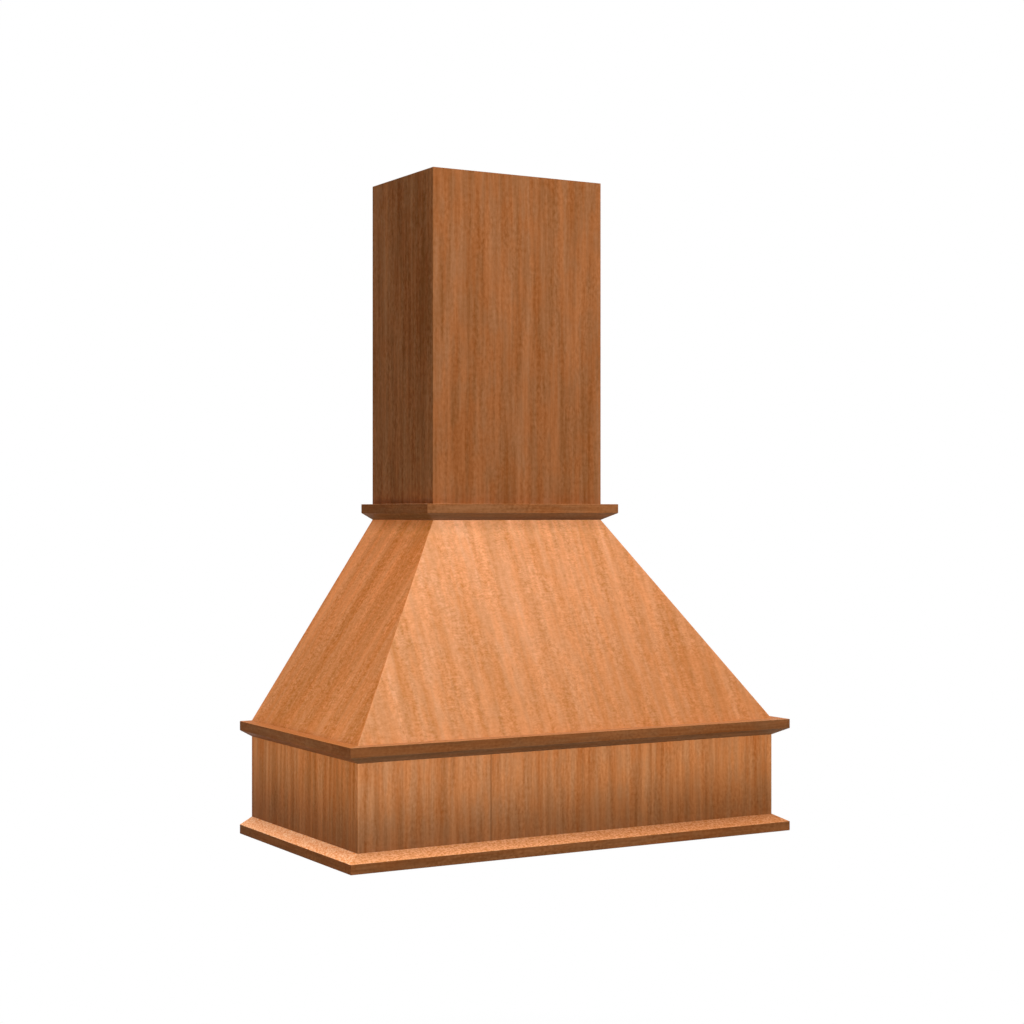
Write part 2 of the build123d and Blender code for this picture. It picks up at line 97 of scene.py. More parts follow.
def amount(name, description, value):
    """A share between none and all that a user can change."""
    return FloatProperty(name=name, description=description, default=value, min=0.0, max=1.0)


def power(name, description, watts):
    """A lamp's power that a user can change."""
    return FloatProperty(name=name, description=description, default=watts, min=0.0, unit="POWER")


# What a user can change


class HoodVeneerSettings(PropertyGroup):
    """Tones and grain of the cherry veneer on the apron, the slopes and the chimney, with lit and shaded
    copies of the tones for the slopes and the sides.
    """

    # Painted light and shade: each board has its own copy of the one veneer's tones, the sides darker than
    # the fronts, and the slopes, which face up, much lighter than the uprights
    chimney_light: colour("Chimney light", "Lightest grain on the chimney's front", 163, 106, 66)
    chimney_dark: colour("Chimney dark", "Darkest grain on the chimney's front", 131, 75, 33)
    chimney_side_light: colour("Chimney side light", "Lightest grain on the chimney's sides", 153, 98, 56)
    chimney_side_dark: colour("Chimney side dark", "Darkest grain on the chimney's sides", 114, 60, 14)
    apron_light: colour("Apron light", "Lightest grain on the apron's front", 171, 115, 73)
    apron_dark: colour("Apron dark", "Darkest grain on the apron's front", 135, 77, 35)
    apron_side_light: colour("Apron side light", "Lightest grain on the apron's sides", 166, 107, 63)
    apron_side_dark: colour("Apron side dark", "Darkest grain on the apron's sides", 128, 70, 22)
    slope_light: colour("Slope light", "Lightest grain on the front slope", 215, 148, 103)
    slope_dark: colour("Slope dark", "Darkest grain on the front slope", 171, 106, 54)
    slope_side_light: colour("Slope side light", "Lightest grain on the side slopes", 210, 135, 82)
    slope_side_dark: colour("Slope side dark", "Darkest grain on the side slopes", 165, 91, 28)
    hue_drift: amount("Hue drift", "How far single streaks lean towards red or olive", 0.05)
    band_width: length("Band width", "Width of the broad tonal bands", 0.03)
    streak_width: length("Streak width", "Width of the streaks inside the bands", 0.0085)
    fibre_width: length("Fibre width", "Width of the fine streaks", 0.0026)
    # Paler mitred edges: wear, and a painted highlight along them
    edge_wear_and_highlight: amount("Edge wear", "How light the finish has worn along the mitred edges", 0.2)
    edge_wear_and_highlight_width: length("Wear width", "How far the wear reaches in from a mitred edge", 0.006)
    seam_place: FloatProperty(
        name="Seam place",
        description="Where two leaves of veneer meet on the apron's front, from the middle",
        default=-0.1874,
        unit="LENGTH",
    )


class HoodMouldingSettings(PropertyGroup):
    """Tones of the one moulding stock that goes round the cover, with lit and shaded copies of it for the
    sides, the chamfers and the undersides.
    """

    light: colour("Moulding light", "Lightest grain of the mouldings", 133, 85, 50)
    dark: colour("Moulding dark", "Darkest grain of the mouldings", 109, 63, 30)
    # Painted shade: the sides' tones are darker copies of the front's. Painted light: the chamfers that face
    # up are much lighter, the side ones lightest, and the underside tones are painted for the shade below
    side_light: colour("Side moulding light", "Lightest grain of the mouldings on the sides", 118, 72, 37)
    side_dark: colour("Side moulding dark", "Darkest grain of the mouldings on the sides", 95, 51, 16)
    chamfer_light: colour("Chamfer light", "Lightest speckle of the front chamfer", 217, 152, 107)
    chamfer_dark: colour("Chamfer dark", "Darkest speckle of the front chamfer", 180, 109, 54)
    side_chamfer_light: colour("Side chamfer light", "Lightest speckle of the side chamfers", 249, 195, 151)
    side_chamfer_dark: colour("Side chamfer dark", "Darkest speckle of the side chamfers", 220, 129, 63)
    under_light: colour("Underside light", "Lightest grain where a moulding faces down", 135, 97, 65)
    under_dark: colour("Underside dark", "Darkest grain where a moulding faces down", 109, 75, 47)
    streak_width: length("Streak width", "Width of the mouldings' streaks", 0.004)


class HoodFrameSettings(PropertyGroup):
    """Tones of the bare wood inside, the cut edges and the screws."""

    poplar_light: colour("Poplar light", "Light rings of the inner frame", 222, 200, 160)
    poplar_dark: colour("Poplar dark", "Dark rings of the inner frame", 196, 166, 120)
    maple_light: colour("Maple light", "Light rings of the hanging cleats", 221, 196, 158)
    maple_dark: colour("Maple dark", "Dark rings of the hanging cleats", 196, 162, 118)
    ply_long: colour("Ply along", "Plies cut along their grain", 205, 172, 125)
    ply_end: colour("Ply across", "Plies cut across their grain", 158, 117, 74)
    zinc: colour("Zinc", "The screws' plating", 196, 196, 188)
    poplar_rings: length("Poplar rings", "Distance between the frame's growth rings", 0.0042)
    maple_rings: length("Maple rings", "Distance between the hanging cleats' growth rings", 0.003)
    back_rings: length("Back rings", "Distance between the rings of the boards' back veneer", 0.011)


class HoodStageSettings(PropertyGroup):
    """The studio round the cover."""

    overhead_power: power("Overhead power", "Power of the large soft light above the cover", 165.0)
    front_power: power("Front power", "Power of the soft light in front of the cover", 105.0)
    back_power: power("Back power", "Power of the soft light behind the cover, which isn't mirrored", 80.0)
    side_power: power("Side power", "Power of each of the two low soft lights beside the cover", 5.0)
    room_light: amount("Room light", "Strength of the light that comes evenly from the room", 0.3)
    floor_drop: length("Floor drop", "How far the floor lies below the hung cover", 0.9)
    lens: FloatProperty(
        name="Lens", description="Focal length of the camera", default=68.32, min=1.0, unit="CAMERA"
    )


class HoodCoverSettings(PropertyGroup):
    """Everything that a user can change about the cover's finish and its studio."""

    veneer: PointerProperty(type=HoodVeneerSettings, name="Veneer", description="Cherry veneer")
    moulding: PointerProperty(type=HoodMouldingSettings, name="Mouldings", description="Moulding stock")
    inside: PointerProperty(type=HoodFrameSettings, name="Inside", description="Bare wood and screws")
    stage: PointerProperty(type=HoodStageSettings, name="Studio", description="Lights, floor and camera")


# Wiring of node trees


class Bench:
    """One node tree, with short ways to add nodes to it and wire them."""

    def __init__(self, tree):
        self.tree = tree

    def node(self, kind, inputs=None, **settings):
        """Adds a node, with its settings and what goes into its sockets."""
        made = self.tree.nodes.new("ShaderNode" + kind)
        for key, value in settings.items():
            setattr(made, key, value)
        for socket, value in (inputs or {}).items():
            self.feed(made.inputs[socket], value)
        return made

    def feed(self, socket, value):
        """Wires another node's output into a socket, or sets a plain value on it."""
        if isinstance(value, bpy.types.NodeSocket):
            self.tree.links.new(value, socket)
        elif socket.type == "RGBA" and len(value) == 3:
            socket.default_value = (*value, 1.0)
        else:
            socket.default_value = value

    def maths(self, operation, *values, clamp=False):
        """One step of arithmetic on numbers."""
        made = self.node("Math", operation=operation, use_clamp=clamp)
        for socket, value in zip(made.inputs, values):
            self.feed(socket, value)
        return made.outputs[0]

    def vector(self, operation, *values):
        """One step of arithmetic on vectors, which gives a number for a dot product or a length."""
        made = self.node("VectorMath", operation=operation)
        for socket, value in zip(made.inputs, values):
            self.feed(socket, value)
        return made.outputs["Value" if operation in ("DOT_PRODUCT", "LENGTH") else "Vector"]

    def blend(self, share, first, second, how="MIX"):
        """Mixes two colours, all the first at a share of 0."""
        made = self.node("Mix", data_type="RGBA", blend_type=how, clamp_factor=True)
        for index, value in ((0, share), (6, first), (7, second)):
            self.feed(made.inputs[index], value)
        return made.outputs[2]

    def ease(self, value, low, high, start=0.0, end=1.0):
        """Maps low..high to start..end, smoothly and no further."""
        made = self.node("MapRange", interpolation_type="SMOOTHSTEP")
        for index, number in enumerate((value, low, high, start, end)):
            self.feed(made.inputs[index], number)
        return made.outputs["Result"]

    def scaled_noise(self, place, scales, detail, rough):
        """Noise about 0.5, with each axis of the place multiplied first."""
        stretched = self.vector("MULTIPLY", place, scales)
        inputs = {"Vector": stretched, "Scale": 1.0, "Detail": detail, "Roughness": rough}
        return self.node("TexNoise", inputs).outputs["Fac"]

    def noise(self, place, sizes, detail=2.0, rough=0.5):
        """Noise about 0.5 whose grains are as long as the sizes given, in metres."""
        return self.scaled_noise(place, tuple(1 / size for size in sizes), detail, rough)


# The sockets of the shared groups that carry vectors: the others carry numbers
VECTOR_SOCKETS = ("Place", "Across", "Out", "Along", "Shift")


def new_group(name, inputs, outputs):
    """An empty node group with named sockets, and its bench."""
    tree = bpy.data.node_groups.new(name, "ShaderNodeTree")
    for in_out, labels in (("INPUT", inputs), ("OUTPUT", outputs)):
        for label in labels:
            kind = "NodeSocketVector" if label in VECTOR_SOCKETS else "NodeSocketFloat"
            tree.interface.new_socket(name=label, in_out=in_out, socket_type=kind)
    bench = Bench(tree)
    enter = tree.nodes.new("NodeGroupInput")
    leave = tree.nodes.new("NodeGroupOutput")
    return bench, enter.outputs, leave.inputs


def use_group(bench, name, inputs):
    """Adds one of the shared groups to a bench, and gives its outputs."""
    made = bench.node("Group", node_tree=bpy.data.node_groups[name])
    for socket, value in inputs.items():
        bench.feed(made.inputs[socket], value)
    return made.outputs


def make_board_space():
    """Turns a point of the cover into a board's own measure: across the grain, into it, along it."""
    bench, enter, leave = new_group(
        "Board space",
        ("Across", "Out", "Along", "Face", "Shift"),
        ("Place", "Depth", "Height", "End grain", "Cross"),
    )
    point = bench.node("TexCoord").outputs["Object"]
    across = bench.vector("DOT_PRODUCT", point, enter["Across"])
    along = bench.vector("DOT_PRODUCT", point, enter["Along"])
    depth = bench.maths("SUBTRACT", enter["Face"], bench.vector("DOT_PRODUCT", point, enter["Out"]))
    joined = bench.node("CombineXYZ", {"X": across, "Y": depth, "Z": along}).outputs[0]
    bench.feed(leave["Place"], bench.vector("ADD", joined, enter["Shift"]))
    bench.feed(leave["Depth"], depth)
    bench.feed(leave["Height"], along)
    bench.feed(leave["Cross"], across)
    facing = bench.vector("DOT_PRODUCT", bench.node("NewGeometry").outputs["Normal"], enter["Along"])
    bench.feed(leave["End grain"], bench.maths("ABSOLUTE", facing))


# What a board can set of its veneer's figure: how wide its grain is, and how much of each kind shows
GRAIN_WIDTHS = ("Band width", "Streak width", "Fibre width", "Speckle size")
GRAIN_SHARES = ("Bands", "Streaks", "Fibres", "Speckle", "Ripple")

# Sizes of the veneer's figure, in metres across the grain, into the board and along the grain
PATCH = (0.035, 0.035, 0.11)
RIPPLE = (0.014, 0.014, 0.005)
RIPPLE_TURN = (0.014, 0.014, 0.035)
PORE = (0.0015, 0.0015, 0.012)
BLOTCH = (0.022, 0.022, 0.05)
PORE_ROW_WIDTH = 0.022
TINT_STREAK_WIDTH = 0.013

# How large each of the grain's two wanders is, and how far it swings from side to side
WANDERS = (((0.16, 0.16, 0.55), 0.014), ((0.02, 0.02, 0.09), 0.0025))

# How many of its own widths each kind of grain is long
BAND_RUN = 15.0
STREAK_RUN = 22.0
FIBRE_RUN = 12.0
SPECKLE_RUN = 1.5
PORE_ROW_RUN = 9.0
TINT_STREAK_RUN = 24.0

# The cross figure's wave: its radians per metre of board, with a ripple every 6 mm, how many radians
# noise moves it by, and its share
RIPPLES_PER_METRE = 2 * math.pi / 0.006
RIPPLE_LEAN = 30.0
RIPPLE_SHARE = 0.1

# How much a pore darkens the wood, a blotch adds to its hue and speckle adds to its relief
PORE_DARKNESS = 0.5
BLOTCH_HUE = 0.8
SPECKLE_RELIEF = 0.3


def make_veneer_figure():
    """Straight-grained veneer: bands, streaks that come and go, pores, speckle and a rippled figure."""
    bench, enter, leave = new_group(
        "Veneer figure",
        ("Place", *GRAIN_WIDTHS, *GRAIN_SHARES),
        ("Tone", "Tint", "Relief"),
    )
    place = enter["Place"]
    for sizes, swing in WANDERS:
        wander = bench.maths("SUBTRACT", bench.noise(enter["Place"], sizes, detail=1.0), 0.5)
        sideways = bench.node("CombineXYZ", {"X": bench.maths("MULTIPLY", wander, swing)}).outputs[0]
        place = bench.vector("ADD", place, sideways)

    def grain(width, times_long, detail=2.0, rough=0.5):
        """Noise about 0 whose grains are one width across and many widths along the board."""
        wide = bench.maths("DIVIDE", 1.0, width)
        longways = bench.maths("DIVIDE", wide, times_long)
        scales = bench.node("CombineXYZ", {"X": wide, "Y": wide, "Z": longways}).outputs[0]
        return bench.maths("SUBTRACT", bench.scaled_noise(place, scales, detail, rough), 0.5)

    def fine(sizes, detail=1.0):
        """Noise about 0 whose grains have the sizes given."""
        return bench.maths("SUBTRACT", bench.noise(place, sizes, detail), 0.5)

    bands = grain(enter["Band width"], BAND_RUN, detail=1.0, rough=0.4)
    streaks = grain(enter["Streak width"], STREAK_RUN)
    fibres = grain(enter["Fibre width"], FIBRE_RUN)
    patches = bench.ease(bench.noise(place, PATCH, detail=1.0), 0.35, 0.65, start=0.7, end=1.4)
    speckle = bench.maths("MULTIPLY", grain(enter["Speckle size"], SPECKLE_RUN), patches)

    height = bench.node("SeparateXYZ", {0: place}).outputs["Z"]
    lean = bench.maths("MULTIPLY", fine(RIPPLE_TURN), RIPPLE_LEAN)
    turned = bench.maths("ADD", bench.maths("MULTIPLY", height, RIPPLES_PER_METRE), lean)
    waves = bench.maths("MULTIPLY", bench.maths("SINE", turned), RIPPLE_SHARE)
    ripple = bench.maths("ADD", fine(RIPPLE, detail=2.0), waves)
    ripple = bench.maths("MULTIPLY", ripple, patches)

    flecks = bench.ease(fine(PORE), 0.15, 0.25)
    rows = bench.ease(grain(PORE_ROW_WIDTH, PORE_ROW_RUN, detail=1.0), 0.02, 0.16)
    pores = bench.maths("MULTIPLY", flecks, rows)

    parts = {"Bands": bands, "Streaks": streaks, "Fibres": fibres, "Speckle": speckle, "Ripple": ripple}
    tone = 0.5
    for label, part in parts.items():
        tone = bench.maths("ADD", tone, bench.maths("MULTIPLY", part, enter[label]))
    tone = bench.maths("SUBTRACT", tone, bench.maths("MULTIPLY", pores, PORE_DARKNESS), clamp=True)
    bench.feed(leave["Tone"], tone)

    blotches = bench.maths("MULTIPLY", fine(BLOTCH), BLOTCH_HUE)
    leaning = bench.maths("ADD", grain(TINT_STREAK_WIDTH, TINT_STREAK_RUN, detail=1.0), blotches)
    bench.feed(leave["Tint"], bench.ease(leaning, -0.22, 0.22))
    relief = bench.maths("ADD", fibres, bench.maths("MULTIPLY", speckle, SPECKLE_RELIEF))
    bench.feed(leave["Relief"], bench.maths("SUBTRACT", relief, pores))


# Solid wood: how long and how far its pith bends, and the sizes of its fibres and broad streaks
PITH_BEND = (0.04, 0.04, 0.5)
PITH_WANDER = 0.028
WOOD_FIBRE = (0.0011, 0.0011, 0.05)
WOOD_STREAK = (0.03, 0.03, 0.5)

# The tone of its early wood, how much late wood takes from it, and how far fibres and streaks swing it
EARLY_TONE = 0.95
LATE_DARKNESS = 0.5
FIBRE_SWING = 0.9
STREAK_SWING = 0.8

# How deep late wood lies in its relief
LATE_RELIEF = 0.3


def make_solid_figure():
    """Solid wood, sawn from a log beside the board, so faces show streaks and ends show rings."""
    bench, enter, leave = new_group("Solid figure", ("Place", "Ring spacing"), ("Tone", "Relief"))
    place = enter["Place"]
    bend = bench.maths("MULTIPLY", bench.noise(place, PITH_BEND, detail=2.0), PITH_WANDER)
    bent = bench.vector("ADD", place, bench.node("CombineXYZ", {"X": bend, "Y": bend}).outputs[0])
    radius = bench.vector("LENGTH", bench.vector("MULTIPLY", bent, (1.0, 1.0, 0.0)))
    turns = bench.maths("FRACT", bench.maths("DIVIDE", radius, enter["Ring spacing"]))
    late = bench.ease(turns, 0.25, 0.98)
    fibres = bench.noise(place, WOOD_FIBRE, detail=3.0, rough=0.6)
    broad = bench.noise(place, WOOD_STREAK, detail=1.0)

    def swing(noise, strength):
        """How far a noise about 0.5 takes the tone up or down."""
        return bench.maths("MULTIPLY", bench.maths("SUBTRACT", noise, 0.5), strength)

    tone = bench.maths("SUBTRACT", EARLY_TONE, bench.maths("MULTIPLY", late, LATE_DARKNESS))
    tone = bench.maths("ADD", tone, swing(fibres, FIBRE_SWING))
    tone = bench.maths("ADD", tone, swing(broad, STREAK_SWING), clamp=True)
    bench.feed(leave["Tone"], tone)
    sunk = bench.maths("MULTIPLY", late, LATE_RELIEF)
    bench.feed(leave["Relief"], bench.maths("SUBTRACT", fibres, sunk))


def make_ply_layers():
    """Where a board's face veneer, core plies and back veneer are, by depth below its face."""
    bench, enter, leave = new_group(
        "Ply layers",
        ("Depth", "Thickness", "Plies"),
        ("Core", "Back", "Crosswise"),
    )
    core = bench.maths("SUBTRACT", enter["Thickness"], 2 * FACE_VENEER)
    share = bench.maths("DIVIDE", bench.maths("SUBTRACT", enter["Depth"], FACE_VENEER), core)
    number = bench.maths("FLOOR", bench.maths("MULTIPLY", share, enter["Plies"]))
    bench.feed(leave["Crosswise"], bench.maths("PINGPONG", number, 1.0))
    bench.feed(leave["Core"], bench.ease(enter["Depth"], FACE_VENEER, FACE_VENEER + GLUE_LINE))
    start = bench.maths("SUBTRACT", enter["Thickness"], FACE_VENEER)
    bench.feed(leave["Back"], bench.maths("GREATER_THAN", enter["Depth"], start))


GROUP_MAKERS = {
    "Board space": make_board_space,
    "Veneer figure": make_veneer_figure,
    "Solid figure": make_solid_figure,
    "Ply layers": make_ply_layers,
}


def ready_groups():
    """Makes each of the shared groups, once."""
    for name, make in GROUP_MAKERS.items():
        if name not in bpy.data.node_groups:
            make()


# Finishes


def start_finish(name):
    """A new material's bench and its shader."""
    ready_groups()
    material = bpy.data.materials.new(name)
    material.use_nodes = True
    bench = Bench(material.node_tree)
    shader = next(n for n in material.node_tree.nodes if n.type == "BSDF_PRINCIPLED")
    return material, bench, shader


# From one board's figure to the next, in metres, so that no two boards share one
BETWEEN_BOARDS = Vector((1.37, 0.91, 2.23))


def from_pith(number):
    """How far a solid board's middle is from its log's pith, to the side and off its face."""
    return Vector((0.012 * (number % 5 - 2), 0.03 + 0.006 * (number % 4), 0))


def board_place(bench, across, out, along, face, number, node=None):
    """A board's own measure, set apart from every other board's; a solid board's is from its pith."""
    shift = BETWEEN_BOARDS * number
    if node:
        low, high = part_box(node)
        middle = (low + high) / 2
        shift = from_pith(number) + Vector((-across.dot(middle), out.dot(middle), shift.z))
    inputs = {"Across": across, "Out": out, "Along": along, "Face": face, "Shift": shift}
    return use_group(bench, "Board space", inputs)


def roughen(bench, shader, relief, deepest, low, high):
    """Bump, in metres, and roughness from low to high that follow the wood's relief."""
    bump = bench.node("Bump", {"Strength": 0.6, "Distance": deepest, "Height": relief})
    bench.feed(shader.inputs["Normal"], bump.outputs[0])
    bench.feed(shader.inputs["Roughness"], bench.ease(relief, -0.6, 0.5, start=high, end=low))


def paint_light_and_shade(bench, face, place, ways):
    """Painted light and shade: a colour that grows slowly lighter or darker over a board, as light would
    fall on it.

    The ways give, for each of the board's measures, where the change starts and ends, and the tints
    there, which multiply the colour.
    """
    for socket, (start, end, first, last) in ways.items():
        tint = bench.blend(bench.ease(place[socket], start, end), first, last)
        face = bench.blend(1.0, face, tint, "MULTIPLY")
    return face


def shade(value):
    """A grey tint."""
    return (value, value, value)


# How much of each kind of grain a board shows, and its widths where they aren't the settings'
STRAIGHT_GRAIN = {
    "Bands": 1.2,
    "Streaks": 1.25,
    "Fibres": 0.5,
    "Speckle": 1.05,
    "Ripple": 0.0,
    "Speckle size": 0.006,
}
MOULDING_GRAIN = {**STRAIGHT_GRAIN, "Speckle": 1.45, "Speckle size": 0.0045, "Band width": 0.02}
APRON_GRAIN = {
    "Bands": 1.05,
    "Streaks": 1.3,
    "Fibres": 0.45,
    "Speckle": 0.8,
    "Ripple": 0.0,
    "Speckle size": 0.005,
}
SLOPE_GRAIN = {
    "Bands": 0.95,
    "Streaks": 0.45,
    "Fibres": 0.0,
    "Speckle": 0.75,
    "Ripple": 0.6,
    "Speckle size": 0.006,
    "Band width": 0.024,
}
SIDE_SLOPE_GRAIN = {
    "Bands": 1.5,
    "Streaks": 0.6,
    "Fibres": 0.0,
    "Speckle": 1.0,
    "Ripple": 0.75,
    "Speckle size": 0.0065,
    "Band width": 0.055,
    "Streak width": 0.02,
}

# The first board's number of each group: it picks the place that a board's figure is taken from
APRON_FIGURES = 3
SLOPE_FIGURES = 11
CHIMNEY_FIGURES = 21
MOULDING_FIGURES = 31
POPLAR_FIGURES = 41
MAPLE_FIGURES = 71

# Which way single streaks lean in hue, and how much of that the slopes show
HUE_LEAN = Vector((1.0, -0.3, -2.0))
SLOPE_HUE = 0.65


def stained_face(bench, place, tones, grain, hue=1.0):
    """Stained veneer or moulding wood: its colour, and its relief."""
    veneer = bpy.context.scene.hood_cover.veneer
    widths = {
        "Band width": veneer.band_width,
        "Streak width": veneer.streak_width,
        "Fibre width": veneer.fibre_width,
    }
    figure = use_group(bench, "Veneer figure", {"Place": place, **widths, **grain})
    light, dark = tones
    lean = HUE_LEAN * veneer.hue_drift * hue
    even = Vector(WHITE)
    tint = bench.blend(figure["Tint"], even - lean, even + lean)
    face = bench.blend(figure["Tone"], dark, light)
    return bench.blend(1.0, face, tint, "MULTIPLY"), figure["Relief"]


# The size of the patches that the paler edges come in, in metres
EDGE_PATCH = (0.03, 0.03, 0.03)


def worn_and_highlit_edges(bench, face, edges, paler):
    """Paints the finish paler along a board's mitred edges, as wear and as a painted edge highlight; the
    edges are given as a way out and a point on each.
    """
    veneer = bpy.context.scene.hood_cover.veneer
    point = bench.node("TexCoord").outputs["Object"]
    patchy = bench.ease(bench.noise(point, EDGE_PATCH, detail=3.0), 0.3, 0.7, start=0.3, end=1.0)
    for way, corner in edges:
        inside = bench.maths("SUBTRACT", way.dot(corner), bench.vector("DOT_PRODUCT", point, way))
        wear_and_highlight = bench.ease(inside, 0.0, veneer.edge_wear_and_highlight_width, start=veneer.edge_wear_and_highlight, end=0.0)
        face = bench.blend(bench.maths("MULTIPLY", wear_and_highlight, patchy), face, paler)
    return face


# The seam between two leaves of veneer: how far off it starts to fade and ends, its strength and tone
SEAM_FADES = 0.0007
SEAM_ENDS = 0.003
SEAM_STRENGTH = 0.32
SEAM_TONE = 0.35

# Painted light on a slope's head, which fills the neck moulding's shadow: how far below the head it begins,
# and where it is at full strength
NECK_FILL_STARTS = 0.05
NECK_FILL_FULL = 0.014

# How much lighter the edges' wear and painted highlight are, how much of its rings a core ply shows, and how
# glossy wood is
WEAR_AND_HIGHLIGHT_TONE = 1.25
PLY_FIGURE = 0.35
STAINED_GLOSS = 0.02
BARE_GLOSS = 0.25

# How dark solid wood's end grain is, and how much of that shows
END_TONE = 0.6
END_SHARE = 0.4


def veneered_board(
    name, tones, axes, corner, board, number, grain, edges, painted_gradient, seam=None, neck_shadow_fill=None, hue=1.0
):
    """Plywood whose face, core plies, cut edges and back all show, wherever the board is cut."""
    across, out, along = axes
    light, dark = tones
    inside = bpy.context.scene.hood_cover.inside
    material, bench, shader = start_finish(name)
    place = board_place(bench, across, out, along, out.dot(corner), number)
    leaf = place["Place"]
    if seam is not None:
        beyond = bench.maths("GREATER_THAN", place["Cross"], seam)
        leaf = bench.vector("ADD", leaf, bench.node("CombineXYZ", {"X": beyond}).outputs[0])
    face, relief = stained_face(bench, leaf, tones, grain, hue)
    if seam is not None:
        off = bench.maths("ABSOLUTE", bench.maths("SUBTRACT", place["Cross"], seam))
        line = bench.ease(off, SEAM_FADES, SEAM_ENDS, start=SEAM_STRENGTH, end=0.0)
        face = bench.blend(line, face, Vector(dark) * SEAM_TONE)
    # Painted light and shade over the face, from the gradient that the board is given
    face = paint_light_and_shade(bench, face, place, painted_gradient)
    # Painted light on a slope's head, which fills the shadow under the neck moulding
    if neck_shadow_fill:
        head, neck_fill = neck_shadow_fill
        face = paint_light_and_shade(bench, face, place, {"Height": (head - NECK_FILL_STARTS, head - NECK_FILL_FULL, WHITE, neck_fill)})
    # Wear and a painted highlight along the mitred edges
    face = worn_and_highlit_edges(bench, face, edges, Vector(light) * WEAR_AND_HIGHLIGHT_TONE)
    sizes = {"Depth": place["Depth"], "Thickness": board, "Plies": round(board / BOARD_PER_PLY)}
    layers = use_group(bench, "Ply layers", sizes)
    bare = use_group(bench, "Solid figure", {"Place": place["Place"], "Ring spacing": inside.back_rings})
    plies = bench.blend(layers["Crosswise"], inside.ply_long, inside.ply_end)
    plies = bench.blend(bare["Tone"], bench.blend(PLY_FIGURE, plies, inside.ply_end), plies)
    back = bench.blend(bare["Tone"], inside.poplar_dark, inside.poplar_light)
    raw = bench.blend(layers["Back"], plies, back)
    bench.feed(shader.inputs["Base Color"], bench.blend(layers["Core"], face, raw))
    roughen(bench, shader, relief, deepest=0.00012, low=0.42, high=0.6)
    shader.inputs["Specular IOR Level"].default_value = STAINED_GLOSS
    return material


def grain_way(node):
    """The way a solid board's grain runs, its longest side or up the hip, and the way its face looks."""
    low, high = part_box(node)
    size = high - low
    if node.startswith("hip_strip"):
        inward = -1 if low.x + high.x > 0 else 1
        run = HALF_BODY - HALF_CHIMNEY
        lean = Vector((inward * run, CHIMNEY_FRONT - BODY_FRONT, NECK_BOTTOM - BAND_TOP))
        return lean.normalized(), (-TO_WALL).cross(lean).normalized()
    ways = sorted(((size.x, RIGHT), (size.y, TO_WALL), (size.z, UP)), key=lambda pair: pair[0])
    return ways[2][1], ways[0][1]


def solid_board(node, name, tones, rings, number):
    """Bare solid wood with its grain along the board, sawn a little way out from the pith."""
    along, out = grain_way(node)
    light, dark = tones
    material, bench, shader = start_finish(name)
    across = along.cross(out).normalized()
    place = board_place(bench, across, out, along, 0.0, number, node)
    figure = use_group(bench, "Solid figure", {"Place": place["Place"], "Ring spacing": rings})
    ends = bench.maths("MULTIPLY", bench.ease(place["End grain"], 0.5, 0.9), END_SHARE)
    wood = bench.blend(figure["Tone"], dark, light)
    bench.feed(shader.inputs["Base Color"], bench.blend(ends, wood, Vector(dark) * END_TONE))
    roughen(bench, shader, figure["Relief"], deepest=0.0002, low=0.6, high=0.8)
    shader.inputs["Specular IOR Level"].default_value = BARE_GLOSS
    return material


# The size of the specks on the mouldings' chamfers, in metres
CHAMFER_SPECK = (0.0032, 0.0032, 0.0045)


def with_painted_tint(tones, tint):
    """Two tones with a tint of painted light and shade over them."""
    return [Vector(tone) * Vector(tint) for tone in tones]


def moulding_stock(name, out, number, fasciae, unders, tops, painted_gradient):
    """Stained moulding: streaked fascia, a tone of painted shade and light where it faces down, and the
    painted lighter tone given where it faces up.
    """
    settings = bpy.context.scene.hood_cover.moulding
    material, bench, shader = start_finish(name)
    place = board_place(bench, UP, out, UP.cross(out), 0.0, number)
    grain = {**MOULDING_GRAIN, "Streak width": settings.streak_width}
    fascia, _ = stained_face(bench, place["Place"], fasciae, grain)
    under, relief = stained_face(bench, place["Place"], unders, grain)
    specks = bench.noise(place["Place"], CHAMFER_SPECK, detail=2.0, rough=0.6)
    light, dark = tops
    top = bench.blend(bench.ease(specks, 0.3, 0.7), dark, light)
    # Painted light and shade across the faces that look up, from the gradient given
    top = paint_light_and_shade(bench, top, place, painted_gradient)
    # Faces pick their tone by which way they look: painted shade and light where they look down, painted
    # light where they look up
    upward = bench.node("SeparateXYZ", {0: bench.node("NewGeometry").outputs["Normal"]}).outputs["Z"]
    wood = bench.blend(bench.ease(upward, -0.6, -0.3, start=1.0, end=0.0), fascia, under)
    bench.feed(shader.inputs["Base Color"], bench.blend(bench.ease(upward, 0.45, 0.75), wood, top))
    roughen(bench, shader, relief, deepest=0.0001, low=0.45, high=0.6)
    shader.inputs["Specular IOR Level"].default_value = STAINED_GLOSS
    return material


# The screws' plating: the sizes of its cloudy patches and turning marks, and how dark a patch is
ZINC_PATCH = (0.003, 0.003, 0.003)
TURNING_MARK = (0.0003, 0.0003, 0.0003)
ZINC_PATCH_TONE = 0.72


